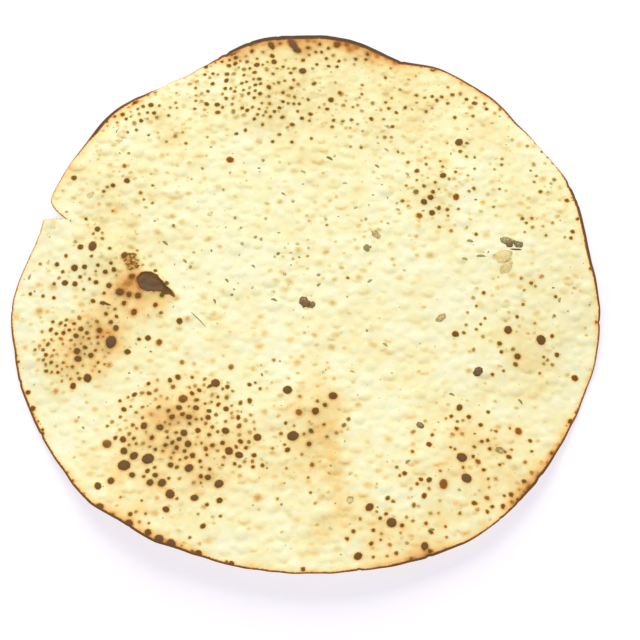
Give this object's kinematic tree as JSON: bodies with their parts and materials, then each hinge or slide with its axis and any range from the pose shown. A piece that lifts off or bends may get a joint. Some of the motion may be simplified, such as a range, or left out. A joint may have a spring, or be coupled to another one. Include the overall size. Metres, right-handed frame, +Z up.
{
  "type": "papadum",
  "caption": "Thin crisp flame-roasted papadum, a wavy blistered round with a scorched rim, char spots, baked-in seeds and a short crack at its rim.",
  "frame": {"origin": "middle of the sheet's outline, on the table that it lies on", "axes": "+Z up through the thin sheet, +Y away from the viewer of the picture, +X to the viewer's right"},
  "size_m": [0.181, 0.181, 0.0093],
  "materials": {
    "roasted_dough": "dry, matt, pale yellow roasted lentil dough with brown to black char spots and a scorched rim",
    "toasted_seed": "dull dark brown to black cumin and cracked pepper"
  },
  "bodies": {
    "root": {"papadum": "roasted_dough"}
  },
  "joints": []
}
